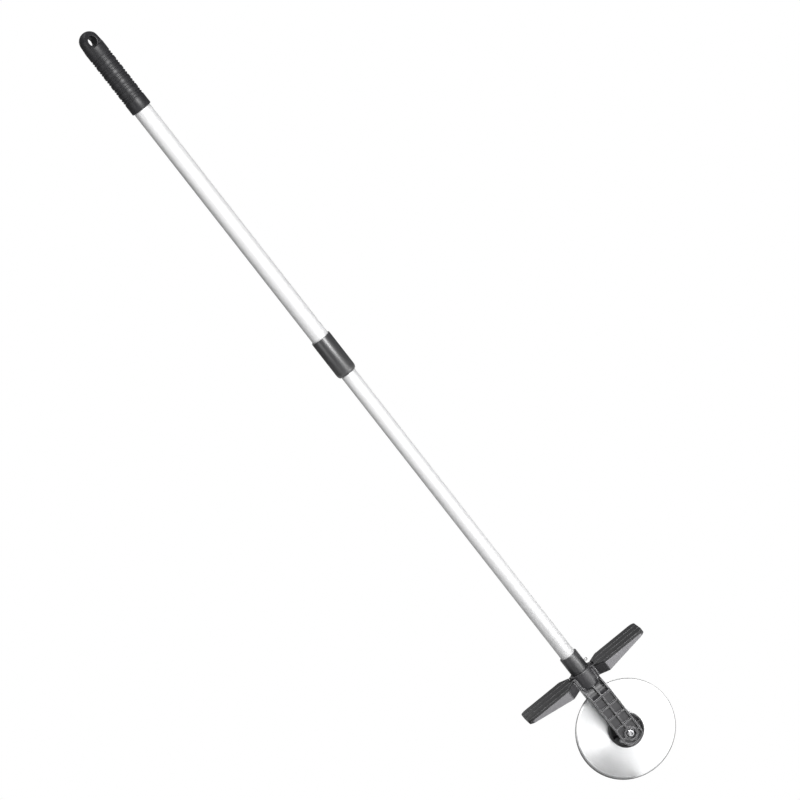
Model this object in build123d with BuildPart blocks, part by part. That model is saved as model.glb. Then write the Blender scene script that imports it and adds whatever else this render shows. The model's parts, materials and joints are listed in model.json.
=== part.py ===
from build123d import *
import os
from math import cos, radians, sin

os.makedirs("parts", exist_ok=True)

# A rolling disc edge cutter on a three-section telescopic pole.
# Millimetres. +Z runs up the pole, wings lie along X, the axle lies along Y and the front is -Y.
# The origin is on the pole's axis, level with the lowest point of the disc.

# --- driving sizes -------------------------------------------------------
# disc and axle
disc_d = 125.0
disc_thickness = 1.5
disc_edge_land = 0.5
disc_bevel = 3.0
axle_d = 6.0
axle_hole_gap = 0.1
axle_sleeve_d = 8.0

# telescopic tubes, from the inside out
lower_tube_d = 16.0
lower_tube_wall = 0.9
lower_gap = 0.6
middle_tube_wall = 0.9
middle_gap = 0.5
upper_tube_wall = 1.0

# travel and engagement of the two stages
stage_one_travel = 435.0
stage_two_travel = 235.0
stage_one_engaged = 35.0
stage_two_engaged = 60.0
closed_gap = 1.0
end_gap = 2.0

# collars and grip
collar_length = 52.5
collar_wall = 1.7
collar_lip = 13.5
collar_foot = 5.5
collar_foot_land = 0.4
sleeve_length = 24.5
sleeve_wall = 2.15
sleeve_lip = 5.0
sleeve_nest = 2.0
grip_length = 108.5
grip_wall = 1.8
grip_cap = 26.5
hang_hole_d = 12.4
hang_hole_drop = 13.2
hang_hole_turn = 36.0
hang_tab_thickness = 12.0
hang_shoulder_drop = 20.0
grip_edge = 1.2
grip_tip_inset = 0.6
groove_width = 1.5
groove_depth = 0.8
groove_pitch = 3.4
groove_period = 13.4
groove_start = 15.2
groove_groups = 5
groove_lines = 3

# head: barrel, wings and fork
bridge_thickness = 3.7
bridge_overlap = 1.0
barrel_length = 22.8
barrel_wall = 2.5
barrel_edge = 0.6
barrel_foot = 2.5
socket_floor = 1.8
wing_half_span = 87.5
wing_root_height = 14.7
wing_tip_height = 6.0
wing_half_depth = 22.0
wing_root_half_depth = 9.5
wing_root_x = 15.0
wing_shoulder_x = 27.5
wing_drop = 2.0
wing_corner = 7.0
wing_edge = 0.7
wing_knee = 1.5
knee_reach = 0.1
column_d = 4.0
column_x = 14.0
column_y = 8.5
wing_skin = 2.6
wing_cell_rows = 2
wing_cell_columns = 4
wing_rib = 2.2
tread_thickness = 3.0
tread_inset = 0.8
tread_groove = 1.6
tread_groove_depth = 1.2
tread_wrap = 2.5
tread_setback = 4.0
arm_width = 27.0
arm_inner = 8.3
arm_outer = 27.0
arm_web_front = 22.5
arm_web = 2.5
arm_wall = 1.8
arm_rib = 1.6
arm_end = 12.75
arm_corner = 9.0
arm_rib_count = 4
arm_top_drop = 10.7
arm_shoulder = 16.0
arm_scoop = 8.5
scoop_floor = 11.0
scoop_bulge = 0.28
crotch_gap = 4.5
boss_d = 16.8
counterbore_d = 13.0
front_seat = 21.0
rear_seat = 18.5

# wheel hub
flange_d = 43.0
flange_depth = 6.4
flange_rim = 2.0
flange_web = 2.2
flange_hub_d = 17.0
flange_rib = 1.6
flange_rib_count = 6
flange_rib_turn = 60.0
bush_wall = 2.0
bush_end_gap = 0.5
rivet_d = 4.0
rivet_head_d = 6.5
rivet_head_height = 1.4
rivet_circle_r = 14.5
rivet_count = 3
rivet_turn = 90.0

# locks inside the pole
lock_stem_length = 15.0
lock_flange = 1.5
lock_cap = 2.5
lock_ring_length = 11.4
lock_ring_gap = 0.3
lock_ring_slot = 2.0
lock_spindle_wall = 4.4

# fasteners
washer_d = 12.0
washer_thickness = 1.2
screw_head_d = 10.5
screw_head_height = 3.3
screw_key = 4.0
screw_key_depth = 2.0
nut_width = 10.0
nut_height = 6.0
tube_screw_d = 3.5
tube_screw_head_d = 7.0
tube_screw_head_height = 1.8
tube_screw_drop = 12.0
eye_pin_d = 1.6
eye_outer_d = 4.3
eye_wire_d = 1.1
eye_rise = 6.5
eye_gap = 0.1
tube_clearance = 0.08
ring_clearance = 0.05
nest_clearance = 0.35

# --- sizes that follow ---------------------------------------------------
axle_z = disc_d / 2
crotch_z = disc_d + crotch_gap
barrel_bottom = crotch_z + bridge_thickness
barrel_top = barrel_bottom + barrel_length
sleeve_bottom = barrel_top - sleeve_nest
sleeve_top = barrel_top + sleeve_length

lower_tube_r = lower_tube_d / 2
lower_bore_r = lower_tube_r - lower_tube_wall
middle_bore_r = lower_tube_r + lower_gap
middle_tube_r = middle_bore_r + middle_tube_wall
upper_bore_r = middle_tube_r + middle_gap
upper_tube_r = upper_bore_r + upper_tube_wall

lock_stack = lock_flange + lock_ring_length + 2 * lock_ring_gap + lock_cap
collar_bottom = sleeve_top + closed_gap + stage_one_travel
collar_top = collar_bottom + collar_length
collar_r = upper_tube_r + collar_wall
middle_tube_top = collar_bottom + stage_one_engaged - lock_stack
upper_tube_bottom = collar_bottom + collar_lip
upper_tube_top = collar_bottom + stage_one_engaged + stage_one_travel + end_gap
grip_r = upper_tube_r + grip_wall
grip_top = upper_tube_top + grip_cap
grip_bottom = grip_top - grip_length

sleeve_r = middle_tube_r + sleeve_wall
barrel_r = sleeve_r + nest_clearance + barrel_wall
socket_z = barrel_bottom + socket_floor
lower_tube_top = sleeve_bottom + stage_two_engaged + stage_two_travel - lock_stack

wing_top = barrel_top - wing_drop
wing_seat = wing_top - tread_thickness
axle_hole_r = axle_d / 2 + axle_hole_gap
bush_bore_r = axle_sleeve_d / 2 + ring_clearance
bush_r = bush_bore_r + bush_wall
bush_end = arm_inner - bush_end_gap


# --- shared outlines -----------------------------------------------------
def lock_plug_points(base, stem_r, flange_r, spindle_r):
    # half section of a plug that sits in a tube's end and carries a lock ring
    ring_bottom = base + lock_flange
    ring_top = ring_bottom + lock_ring_length + 2 * lock_ring_gap
    return [
        (0, base - lock_stem_length),
        (stem_r, base - lock_stem_length),
        (stem_r, base),
        (flange_r, base),
        (flange_r, ring_bottom),
        (spindle_r, ring_bottom),
        (spindle_r, ring_top),
        (flange_r, ring_top),
        (flange_r, ring_top + lock_cap),
        (0, ring_top + lock_cap),
    ]


def wing_outline(inset):
    # plan of the right-hand wing from the pole's axis to its tip
    edge = wing_half_depth - inset
    root = wing_root_half_depth - inset
    tip = wing_half_span
    bend = tip - wing_corner
    with BuildSketch() as outline:
        with BuildLine():
            Polyline((0, -root), (wing_root_x, -root), (wing_shoulder_x, -edge), (bend, -edge))
            RadiusArc((bend, -edge), (tip, -edge + wing_corner), -wing_corner)
            Line((tip, -edge + wing_corner), (tip, edge - wing_corner))
            RadiusArc((tip, edge - wing_corner), (bend, edge), -wing_corner)
            Polyline((bend, edge), (wing_shoulder_x, edge), (wing_root_x, root), (0, root), (0, -root))
        make_face()
    return outline.sketch_local


# --- handle --------------------------------------------------------------
with BuildPart() as grip:
    tip_r = grip_r - grip_tip_inset
    with BuildSketch(Plane.XZ):
        with BuildLine():
            Polyline((0, grip_bottom), (grip_r - grip_edge, grip_bottom))
            RadiusArc((grip_r - grip_edge, grip_bottom), (grip_r, grip_bottom + grip_edge), -grip_edge)
            Line((grip_r, grip_bottom + grip_edge), (grip_r, grip_top - hang_shoulder_drop))
            Line((grip_r, grip_top - hang_shoulder_drop), (tip_r, grip_top - tip_r))
            RadiusArc((tip_r, grip_top - tip_r), (0, grip_top), -tip_r)
            Line((0, grip_top), (0, grip_bottom))
        make_face()
    revolve(axis=Axis.Z)
    # three thin grooves in each group leave two narrow ridges between wide rings
    with BuildSketch(Plane.XZ):
        for group in range(groove_groups):
            for line in range(groove_lines):
                groove_z = grip_bottom + groove_start + group * groove_period + line * groove_pitch
                with Locations((grip_r, groove_z)):
                    Rectangle(2 * groove_depth, groove_width)
    revolve(axis=Axis.Z, mode=Mode.SUBTRACT)
    # socket for the tube
    with BuildSketch(Plane.XY.offset(grip_bottom)):
        Circle(upper_tube_r)
    extrude(amount=upper_tube_top - grip_bottom, mode=Mode.SUBTRACT)
    # two flats make a hanging tab, and a round hole goes through it
    hang_plane = Plane(
        origin=(0, 0, grip_top - hang_hole_drop),
        x_dir=(cos(radians(hang_hole_turn)), sin(radians(hang_hole_turn)), 0),
        z_dir=(sin(radians(hang_hole_turn)), -cos(radians(hang_hole_turn)), 0),
    )
    flat_height = 2 * hang_shoulder_drop
    front_flat = hang_plane.offset(hang_tab_thickness / 2)
    rear_flat = hang_plane.offset(-hang_tab_thickness / 2 - grip_r)
    with BuildSketch(front_flat, rear_flat):
        with Locations((0, hang_hole_drop - hang_shoulder_drop + flat_height / 2)):
            Rectangle(4 * grip_r, flat_height)
    extrude(amount=grip_r, mode=Mode.SUBTRACT)
    with BuildSketch(hang_plane.offset(-grip_r)):
        Circle(hang_hole_d / 2)
    extrude(amount=2 * grip_r, mode=Mode.SUBTRACT)
grip.part.label = "grip"
export_step(grip.part, "parts/grip.step")

with BuildPart() as upper_tube:
    with BuildSketch(Plane.XY.offset(upper_tube_bottom)):
        Circle(upper_tube_r)
        Circle(upper_bore_r, mode=Mode.SUBTRACT)
    extrude(amount=upper_tube_top - upper_tube_bottom)
upper_tube.part.label = "upper_tube"
export_step(upper_tube.part, "parts/upper_tube.step")

with BuildPart() as upper_collar:
    collar_lip_r = middle_tube_r + tube_clearance
    collar_foot_r = collar_lip_r + collar_foot_land
    with BuildSketch(Plane.XZ):
        with BuildLine():
            Line((upper_tube_r, upper_tube_bottom), (upper_tube_r, collar_top))
            Line((upper_tube_r, collar_top), (collar_r, collar_top))
            Line((collar_r, collar_top), (collar_r, collar_bottom + collar_foot))
            TangentArc(
                (collar_r, collar_bottom + collar_foot),
                (collar_foot_r, collar_bottom),
                tangent=(0, -1),
            )
            Line((collar_foot_r, collar_bottom), (collar_lip_r, collar_bottom))
            Line((collar_lip_r, collar_bottom), (collar_lip_r, upper_tube_bottom))
            Line((collar_lip_r, upper_tube_bottom), (upper_tube_r, upper_tube_bottom))
        make_face()
    revolve(axis=Axis.Z)
upper_collar.part.label = "upper_collar"
export_step(upper_collar.part, "parts/upper_collar.step")

# --- first lock and middle section ---------------------------------------
upper_spindle_r = upper_bore_r - lock_spindle_wall
with BuildPart() as upper_lock_ring:
    with BuildSketch(Plane.XY.offset(middle_tube_top + lock_flange + lock_ring_gap)):
        Circle(upper_bore_r - ring_clearance)
        Circle(upper_spindle_r + ring_clearance, mode=Mode.SUBTRACT)
        with Locations((0, upper_bore_r / 2 + upper_spindle_r / 2)):
            Rectangle(lock_ring_slot, upper_bore_r, mode=Mode.SUBTRACT)
    extrude(amount=lock_ring_length)
upper_lock_ring.part.label = "upper_lock_ring"
export_step(upper_lock_ring.part, "parts/upper_lock_ring.step")

with BuildPart() as upper_lock_plug:
    with BuildSketch(Plane.XZ):
        with BuildLine():
            Polyline(
                *lock_plug_points(middle_tube_top, middle_bore_r, middle_tube_r, upper_spindle_r),
                close=True,
            )
        make_face()
    revolve(axis=Axis.Z)
upper_lock_plug.part.label = "upper_lock_plug"
export_step(upper_lock_plug.part, "parts/upper_lock_plug.step")

middle_tube_bottom = sleeve_bottom + sleeve_lip
eye_pin_z = barrel_top + eye_rise
with BuildPart() as middle_tube:
    with BuildSketch(Plane.XY.offset(middle_tube_bottom)):
        Circle(middle_tube_r)
        Circle(middle_bore_r, mode=Mode.SUBTRACT)
    extrude(amount=middle_tube_top - middle_tube_bottom)
    with BuildSketch(Plane.YZ):
        with Locations((0, eye_pin_z)):
            Circle(eye_pin_d / 2)
    extrude(amount=middle_tube_r, mode=Mode.SUBTRACT)
middle_tube.part.label = "middle_tube"
export_step(middle_tube.part, "parts/middle_tube.step")

with BuildPart() as lower_collar:
    sleeve_lip_r = lower_tube_r + tube_clearance
    foot = sleeve_nest
    with BuildSketch(Plane.XZ):
        with BuildLine():
            Line((middle_tube_r, middle_tube_bottom), (middle_tube_r, sleeve_top))
            Line((middle_tube_r, sleeve_top), (sleeve_r, sleeve_top))
            Line((sleeve_r, sleeve_top), (sleeve_r, sleeve_bottom + foot))
            RadiusArc((sleeve_r, sleeve_bottom + foot), (sleeve_r - foot, sleeve_bottom), foot)
            Line((sleeve_r - foot, sleeve_bottom), (sleeve_lip_r, sleeve_bottom))
            Line((sleeve_lip_r, sleeve_bottom), (sleeve_lip_r, middle_tube_bottom))
            Line((sleeve_lip_r, middle_tube_bottom), (middle_tube_r, middle_tube_bottom))
        make_face()
    revolve(axis=Axis.Z)
    with BuildSketch(Plane.YZ):
        with Locations((0, eye_pin_z)):
            Circle(eye_pin_d / 2)
    extrude(amount=2 * sleeve_r, mode=Mode.SUBTRACT)
lower_collar.part.label = "lower_collar"
export_step(lower_collar.part, "parts/lower_collar.step")

with BuildPart() as eye_pin:
    eye_ring_r = (eye_outer_d - eye_wire_d) / 2
    eye_x = sleeve_r + eye_outer_d / 2 + eye_gap
    with BuildSketch(Plane.YZ.offset(middle_bore_r)):
        with Locations((0, eye_pin_z)):
            Circle(eye_pin_d / 2)
    extrude(amount=eye_x - eye_ring_r - middle_bore_r)
    with BuildSketch(Plane.XY.offset(eye_pin_z)):
        with Locations((eye_x + eye_ring_r, 0)):
            Circle(eye_wire_d / 2)
    revolve(axis=Axis((eye_x, 0, eye_pin_z), (0, 1, 0)))
eye_pin.part.label = "eye_pin"
export_step(eye_pin.part, "parts/eye_pin.step")

# --- second lock and lower section ---------------------------------------
lower_spindle_r = middle_bore_r - lock_spindle_wall
with BuildPart() as lower_lock_ring:
    with BuildSketch(Plane.XY.offset(lower_tube_top + lock_flange + lock_ring_gap)):
        Circle(middle_bore_r - ring_clearance)
        Circle(lower_spindle_r + ring_clearance, mode=Mode.SUBTRACT)
        with Locations((0, middle_bore_r / 2 + lower_spindle_r / 2)):
            Rectangle(lock_ring_slot, middle_bore_r, mode=Mode.SUBTRACT)
    extrude(amount=lock_ring_length)
lower_lock_ring.part.label = "lower_lock_ring"
export_step(lower_lock_ring.part, "parts/lower_lock_ring.step")

with BuildPart() as lower_lock_plug:
    with BuildSketch(Plane.XZ):
        with BuildLine():
            Polyline(
                *lock_plug_points(lower_tube_top, lower_bore_r, lower_tube_r, lower_spindle_r),
                close=True,
            )
        make_face()
    revolve(axis=Axis.Z)
lower_lock_plug.part.label = "lower_lock_plug"
export_step(lower_lock_plug.part, "parts/lower_lock_plug.step")

tube_screw_z = barrel_top - tube_screw_drop
with BuildPart() as lower_tube:
    with BuildSketch(Plane.XY.offset(socket_z)):
        Circle(lower_tube_r)
        Circle(lower_bore_r, mode=Mode.SUBTRACT)
    extrude(amount=lower_tube_top - socket_z)
    with BuildSketch(Plane.XZ):
        with Locations((0, tube_screw_z)):
            Circle(tube_screw_d / 2)
    extrude(amount=-lower_tube_r, mode=Mode.SUBTRACT)
lower_tube.part.label = "lower_tube"
export_step(lower_tube.part, "parts/lower_tube.step")

# --- head ----------------------------------------------------------------
with BuildPart() as wing:
    # front elevation gives the taper, the plan gives the outline
    with BuildSketch(Plane.XZ.offset(-wing_half_depth)):
        with BuildLine():
            Polyline(
                (0, wing_seat),
                (wing_half_span - tread_wrap, wing_seat),
                (wing_half_span - tread_wrap, wing_top - wing_tip_height),
                (wing_shoulder_x, wing_top - wing_root_height),
                (0, wing_top - wing_root_height),
                close=True,
            )
        make_face()
    extrude(amount=2 * wing_half_depth)
    with BuildSketch(Plane.XY):
        add(wing_outline(0))
    extrude(amount=barrel_top, mode=Mode.INTERSECT)
    # round the knees where the wing widens and the long upper edges
    knee_start = wing_shoulder_x - knee_reach
    knee_end = wing_shoulder_x + knee_reach
    fillet(edges().filter_by(Axis.Z).filter_by_position(Axis.X, knee_start, knee_end), wing_knee)
    fillet(edges().filter_by(Axis.X).group_by(Axis.Z)[-1], wing_edge)
    # cells moulded into the underside leave ribs between them
    cell_room = wing_half_span - tread_wrap - wing_skin - wing_shoulder_x - wing_rib
    cell_length = (cell_room - (wing_cell_columns - 1) * wing_rib) / wing_cell_columns
    cell_depth = wing_half_depth - wing_skin - wing_rib / 2
    cell_pitch_x = cell_length + wing_rib
    cell_pitch_y = cell_depth + wing_rib
    with BuildSketch(Plane.XY):
        with Locations((wing_shoulder_x + wing_rib + cell_room / 2, 0)):
            with GridLocations(cell_pitch_x, cell_pitch_y, wing_cell_columns, wing_cell_rows):
                RectangleRounded(cell_length, cell_depth, wing_rib)
    extrude(amount=wing_seat - wing_skin, mode=Mode.SUBTRACT)

with BuildPart() as tread_right:
    # top pad that turns down over the tip
    with BuildSketch(Plane.XY.offset(wing_seat)):
        add(wing_outline(tread_inset))
        Circle(wing_root_x + tread_setback, mode=Mode.SUBTRACT)
    extrude(amount=tread_thickness)
    with BuildSketch(Plane.XY.offset(wing_top - wing_tip_height)):
        add(wing_outline(tread_inset))
        Rectangle(2 * (wing_half_span - tread_wrap), 2 * wing_half_depth, mode=Mode.SUBTRACT)
    extrude(amount=wing_tip_height)
    groove_y = (wing_half_depth - tread_inset) / 3
    with BuildSketch(Plane.XY.offset(wing_top - tread_groove_depth)):
        with Locations((wing_half_span, groove_y), (wing_half_span, -groove_y)):
            Rectangle(2 * wing_half_span, tread_groove)
    extrude(amount=tread_groove_depth, mode=Mode.SUBTRACT)
tread_right.part.label = "tread_right"
export_step(tread_right.part, "parts/tread_right.step")

with BuildPart() as tread_left:
    mirror(tread_right.part, about=Plane.YZ)
tread_left.part.label = "tread_left"
export_step(tread_left.part, "parts/tread_left.step")

arm_bottom = axle_z - arm_end
arm_top = barrel_bottom - arm_top_drop
arm_rib_pitch = (arm_top - arm_rib / 2 - axle_z) / arm_rib_count
shoulder_z = arm_top + arm_shoulder
pocket_width = arm_width - 2 * arm_wall


def arm_pockets():
    # front elevation of the pockets between the arm's rim, its long rib and its cross ribs
    pocket_top = arm_top - arm_rib
    pocket_bottom = arm_bottom + arm_wall
    with BuildSketch() as pockets:
        with Locations((0, (pocket_top + pocket_bottom) / 2)):
            Rectangle(pocket_width, pocket_top - pocket_bottom)
        fillet(vertices().group_by(Axis.Y)[0], arm_corner - arm_wall)
        with Locations((0, (pocket_top + axle_z) / 2)):
            Rectangle(arm_rib, pocket_top - axle_z, mode=Mode.SUBTRACT)
        for rib in range(arm_rib_count):
            with Locations((0, axle_z + rib * arm_rib_pitch)):
                Rectangle(arm_width, arm_rib, mode=Mode.SUBTRACT)
        with Locations((0, axle_z)):
            Circle(boss_d / 2, mode=Mode.SUBTRACT)
        with Locations((0, axle_z - boss_d / 2)):
            Rectangle(arm_rib, boss_d / 2, mode=Mode.SUBTRACT)
    return pockets.sketch_local


with BuildPart() as arm:
    # side elevation: a straight arm with a rounded shoulder that runs up beside the barrel
    with BuildSketch(Plane.YZ.offset(-arm_width / 2)):
        with BuildLine():
            Polyline((-arm_inner, arm_bottom), (-arm_outer, arm_bottom), (-arm_outer, arm_top))
            TangentArc((-arm_outer, arm_top), (-barrel_r + barrel_wall / 2, shoulder_z), tangent=(0, 1))
            Polyline(
                (-barrel_r + barrel_wall / 2, shoulder_z),
                (-arm_inner, shoulder_z),
                (-arm_inner, arm_bottom),
            )
        make_face()
    extrude(amount=arm_width)
    # front elevation rounds the arm's end
    with BuildSketch(Plane.XZ):
        with Locations((0, (arm_bottom + barrel_top) / 2)):
            Rectangle(arm_width, barrel_top - arm_bottom)
        fillet(vertices().group_by(Axis.Y)[0], arm_corner)
    extrude(amount=2 * arm_outer, mode=Mode.INTERSECT)
    # pockets outside and inside the web
    with BuildSketch(Plane.XZ.offset(arm_web_front)):
        add(arm_pockets())
    extrude(amount=arm_outer, mode=Mode.SUBTRACT)
    with BuildSketch(Plane.XZ.offset(arm_inner)):
        add(arm_pockets())
    extrude(amount=arm_web_front - arm_web - arm_inner, mode=Mode.SUBTRACT)
    # the long rib slopes back under the barrel
    cut_front = arm_outer + arm_rib
    with BuildSketch(Plane.YZ.offset(-pocket_width / 2)):
        with BuildLine():
            Polyline(
                (-cut_front, arm_top),
                (-barrel_r, barrel_bottom),
                (-barrel_r, shoulder_z + arm_rib),
                (-cut_front, shoulder_z + arm_rib),
                close=True,
            )
        make_face()
    extrude(amount=pocket_width, mode=Mode.SUBTRACT)
    # a hollow scoop on each side of the long rib
    scoop_width = (pocket_width - arm_rib) / 2
    scoop_depth = arm_web_front - scoop_floor
    scoop_start = arm_top + arm_rib / 2
    with BuildSketch(Plane.YZ.offset(arm_rib / 2), Plane.YZ.offset(-pocket_width / 2)):
        with BuildLine():
            ThreePointArc(
                (-arm_web_front, scoop_start),
                (-scoop_floor - scoop_bulge * scoop_depth, scoop_start + scoop_bulge * arm_scoop),
                (-scoop_floor, scoop_start + arm_scoop),
            )
            Polyline(
                (-scoop_floor, scoop_start + arm_scoop),
                (-scoop_floor, shoulder_z + arm_rib),
                (-cut_front, shoulder_z + arm_rib),
                (-cut_front, scoop_start),
                (-arm_web_front, scoop_start),
            )
        make_face()
    extrude(amount=scoop_width, mode=Mode.SUBTRACT)

with BuildPart() as fork_head:
    with BuildSketch(Plane.XY.offset(barrel_bottom)):
        Circle(barrel_r)
    extrude(amount=barrel_length)
    fillet(edges().group_by(Axis.Z)[-1], barrel_edge)
    fillet(edges().group_by(Axis.Z)[0], barrel_foot)
    # four upright columns stand where the wings leave the barrel
    with BuildSketch(Plane.XY.offset(wing_top - wing_root_height)):
        with GridLocations(2 * column_x, 2 * column_y, 2, 2):
            Circle(column_d / 2)
    extrude(amount=wing_root_height)
    add(wing.part)
    mirror(wing.part, about=Plane.YZ)
    add(arm.part)
    mirror(arm.part, about=Plane.XZ)
    # bridge between the two arms, above the disc
    with BuildSketch(Plane.XY.offset(crotch_z)):
        Rectangle(arm_width, 2 * (arm_inner + bridge_overlap))
    extrude(amount=bridge_thickness + barrel_foot)
    # socket for the tube, a recess for the sleeve's foot and the axle's holes
    with BuildSketch(Plane.XY.offset(socket_z)):
        Circle(lower_tube_r)
    extrude(amount=barrel_top - socket_z, mode=Mode.SUBTRACT)
    with BuildSketch(Plane.XY.offset(sleeve_bottom - nest_clearance)):
        Circle(sleeve_r + nest_clearance)
    extrude(amount=barrel_top, mode=Mode.SUBTRACT)
    with BuildSketch(Plane.XZ.offset(-arm_outer)):
        with Locations((0, axle_z)):
            Circle(axle_hole_r)
    extrude(amount=2 * arm_outer, mode=Mode.SUBTRACT)
    with BuildSketch(Plane.XZ.offset(front_seat), Plane.XZ.offset(-rear_seat - arm_outer)):
        with Locations((0, axle_z)):
            Circle(counterbore_d / 2)
    extrude(amount=arm_outer, mode=Mode.SUBTRACT)
    # self-tapping screw hole at the back of the barrel
    with BuildSketch(Plane.XZ):
        with Locations((0, tube_screw_z)):
            Circle(tube_screw_d / 2)
    extrude(amount=-2 * barrel_r, mode=Mode.SUBTRACT)
fork_head.part.label = "fork_head"
export_step(fork_head.part, "parts/fork_head.step")

with BuildPart() as tube_screw:
    head_plane = Plane.XZ.offset(-barrel_r)
    with BuildSketch(Plane.XZ.offset(-lower_bore_r)):
        with Locations((0, tube_screw_z)):
            Circle(tube_screw_d / 2)
    extrude(amount=-(barrel_r - lower_bore_r))
    with BuildSketch(head_plane):
        with Locations((0, tube_screw_z)):
            Circle(tube_screw_head_d / 2)
    extrude(amount=-tube_screw_head_height)
    fillet(edges().filter_by(GeomType.CIRCLE).group_by(Axis.Y)[-1], tube_screw_head_height / 2)
tube_screw.part.label = "tube_screw"
export_step(tube_screw.part, "parts/tube_screw.step")

# --- axle ----------------------------------------------------------------
head_seat = front_seat + washer_thickness
nut_seat = rear_seat + washer_thickness
with BuildPart() as axle_screw:
    with BuildSketch(Plane.XZ.offset(head_seat)):
        with Locations((0, axle_z)):
            Circle(screw_head_d / 2)
    extrude(amount=screw_head_height)
    fillet(edges().filter_by(GeomType.CIRCLE).group_by(Axis.Y)[0], screw_head_height / 2)
    with BuildSketch(Plane.XZ.offset(head_seat)):
        with Locations((0, axle_z)):
            Circle(axle_d / 2)
    extrude(amount=-(head_seat + nut_seat + nut_height))
    with BuildSketch(Plane.XZ.offset(head_seat + screw_head_height - screw_key_depth)):
        with Locations((0, axle_z)):
            RegularPolygon(screw_key / 2, 6, major_radius=False)
    extrude(amount=screw_head_height, mode=Mode.SUBTRACT)
axle_screw.part.label = "axle_screw"
export_step(axle_screw.part, "parts/axle_screw.step")

with BuildPart() as washer_front:
    with BuildSketch(Plane.XZ.offset(front_seat)):
        with Locations((0, axle_z)):
            Circle(washer_d / 2)
            Circle(axle_hole_r, mode=Mode.SUBTRACT)
    extrude(amount=washer_thickness)
washer_front.part.label = "washer_front"
export_step(washer_front.part, "parts/washer_front.step")

with BuildPart() as washer_rear:
    with BuildSketch(Plane.XZ.offset(-nut_seat)):
        with Locations((0, axle_z)):
            Circle(washer_d / 2)
            Circle(axle_hole_r, mode=Mode.SUBTRACT)
    extrude(amount=washer_thickness)
washer_rear.part.label = "washer_rear"
export_step(washer_rear.part, "parts/washer_rear.step")

with BuildPart() as axle_nut:
    with BuildSketch(Plane.XZ.offset(-nut_seat - nut_height)):
        with Locations((0, axle_z)):
            RegularPolygon(nut_width / 2, 6, major_radius=False)
            Circle(axle_d / 2, mode=Mode.SUBTRACT)
    extrude(amount=nut_height)
axle_nut.part.label = "axle_nut"
export_step(axle_nut.part, "parts/axle_nut.step")

with BuildPart() as axle_sleeve:
    with BuildSketch(Plane.XZ.offset(-arm_inner)):
        with Locations((0, axle_z)):
            Circle(axle_sleeve_d / 2)
            Circle(axle_hole_r, mode=Mode.SUBTRACT)
    extrude(amount=2 * arm_inner)
axle_sleeve.part.label = "axle_sleeve"
export_step(axle_sleeve.part, "parts/axle_sleeve.step")

# --- wheel ---------------------------------------------------------------
disc_face = disc_thickness / 2
rivet_plane = Plane.XZ.offset(-disc_face - flange_web)
with BuildPart() as blade:
    # turned section, bevelled on both sides of the rim
    with BuildSketch(Plane.XY.offset(axle_z)):
        with BuildLine():
            Polyline(
                (bush_r, -disc_face),
                (disc_d / 2 - disc_bevel, -disc_face),
                (disc_d / 2, -disc_edge_land / 2),
                (disc_d / 2, disc_edge_land / 2),
                (disc_d / 2 - disc_bevel, disc_face),
                (bush_r, disc_face),
                close=True,
            )
        make_face()
    revolve(axis=Axis((0, 0, axle_z), (0, 1, 0)))
    with BuildSketch(rivet_plane):
        with Locations((0, axle_z)):
            with PolarLocations(rivet_circle_r, rivet_count, start_angle=rivet_turn):
                Circle(rivet_d / 2)
    extrude(amount=2 * (disc_face + flange_web), mode=Mode.SUBTRACT)
blade.part.label = "blade"
export_step(blade.part, "parts/blade.step")

with BuildPart() as hub_flange_front:
    with BuildSketch(Plane.XZ.offset(disc_face)):
        with Locations((0, axle_z)):
            Circle(flange_d / 2)
            Circle(bush_r, mode=Mode.SUBTRACT)
    extrude(amount=flange_depth)
    # recess between the rim and the hub, crossed by radial ribs
    with BuildSketch(Plane.XZ.offset(disc_face + flange_web)):
        with Locations((0, axle_z)):
            Circle(flange_d / 2 - flange_rim)
            Circle(flange_hub_d / 2, mode=Mode.SUBTRACT)
            with PolarLocations(flange_d / 4, flange_rib_count, start_angle=flange_rib_turn):
                Rectangle(flange_d / 2, flange_rib, mode=Mode.SUBTRACT)
    extrude(amount=flange_depth, mode=Mode.SUBTRACT)
    with BuildSketch(rivet_plane):
        with Locations((0, axle_z)):
            with PolarLocations(rivet_circle_r, rivet_count, start_angle=rivet_turn):
                Circle(rivet_d / 2)
    extrude(amount=2 * (disc_face + flange_web), mode=Mode.SUBTRACT)
hub_flange_front.part.label = "hub_flange_front"
export_step(hub_flange_front.part, "parts/hub_flange_front.step")

with BuildPart() as hub_flange_rear:
    mirror(hub_flange_front.part, about=Plane.XZ)
hub_flange_rear.part.label = "hub_flange_rear"
export_step(hub_flange_rear.part, "parts/hub_flange_rear.step")

with BuildPart() as hub_bush:
    with BuildSketch(Plane.XZ.offset(-bush_end)):
        with Locations((0, axle_z)):
            Circle(bush_r)
            Circle(bush_bore_r, mode=Mode.SUBTRACT)
    extrude(amount=2 * bush_end)
hub_bush.part.label = "hub_bush"
export_step(hub_bush.part, "parts/hub_bush.step")

with BuildPart() as flange_rivets:
    rivet_half = disc_face + flange_web
    with BuildSketch(rivet_plane):
        with Locations((0, axle_z)):
            with PolarLocations(rivet_circle_r, rivet_count, start_angle=rivet_turn):
                Circle(rivet_d / 2)
    extrude(amount=2 * rivet_half)
    with BuildSketch(Plane.XZ.offset(rivet_half), Plane.XZ.offset(-rivet_half - rivet_head_height)):
        with Locations((0, axle_z)):
            with PolarLocations(rivet_circle_r, rivet_count, start_angle=rivet_turn):
                Circle(rivet_head_d / 2)
    extrude(amount=rivet_head_height)
flange_rivets.part.label = "flange_rivets"
export_step(flange_rivets.part, "parts/flange_rivets.step")

print("overall length", round(grip_top, 2))
print("closed length", round(grip_top - stage_one_travel, 2))
print("open length", round(grip_top + stage_two_travel, 2))
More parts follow.
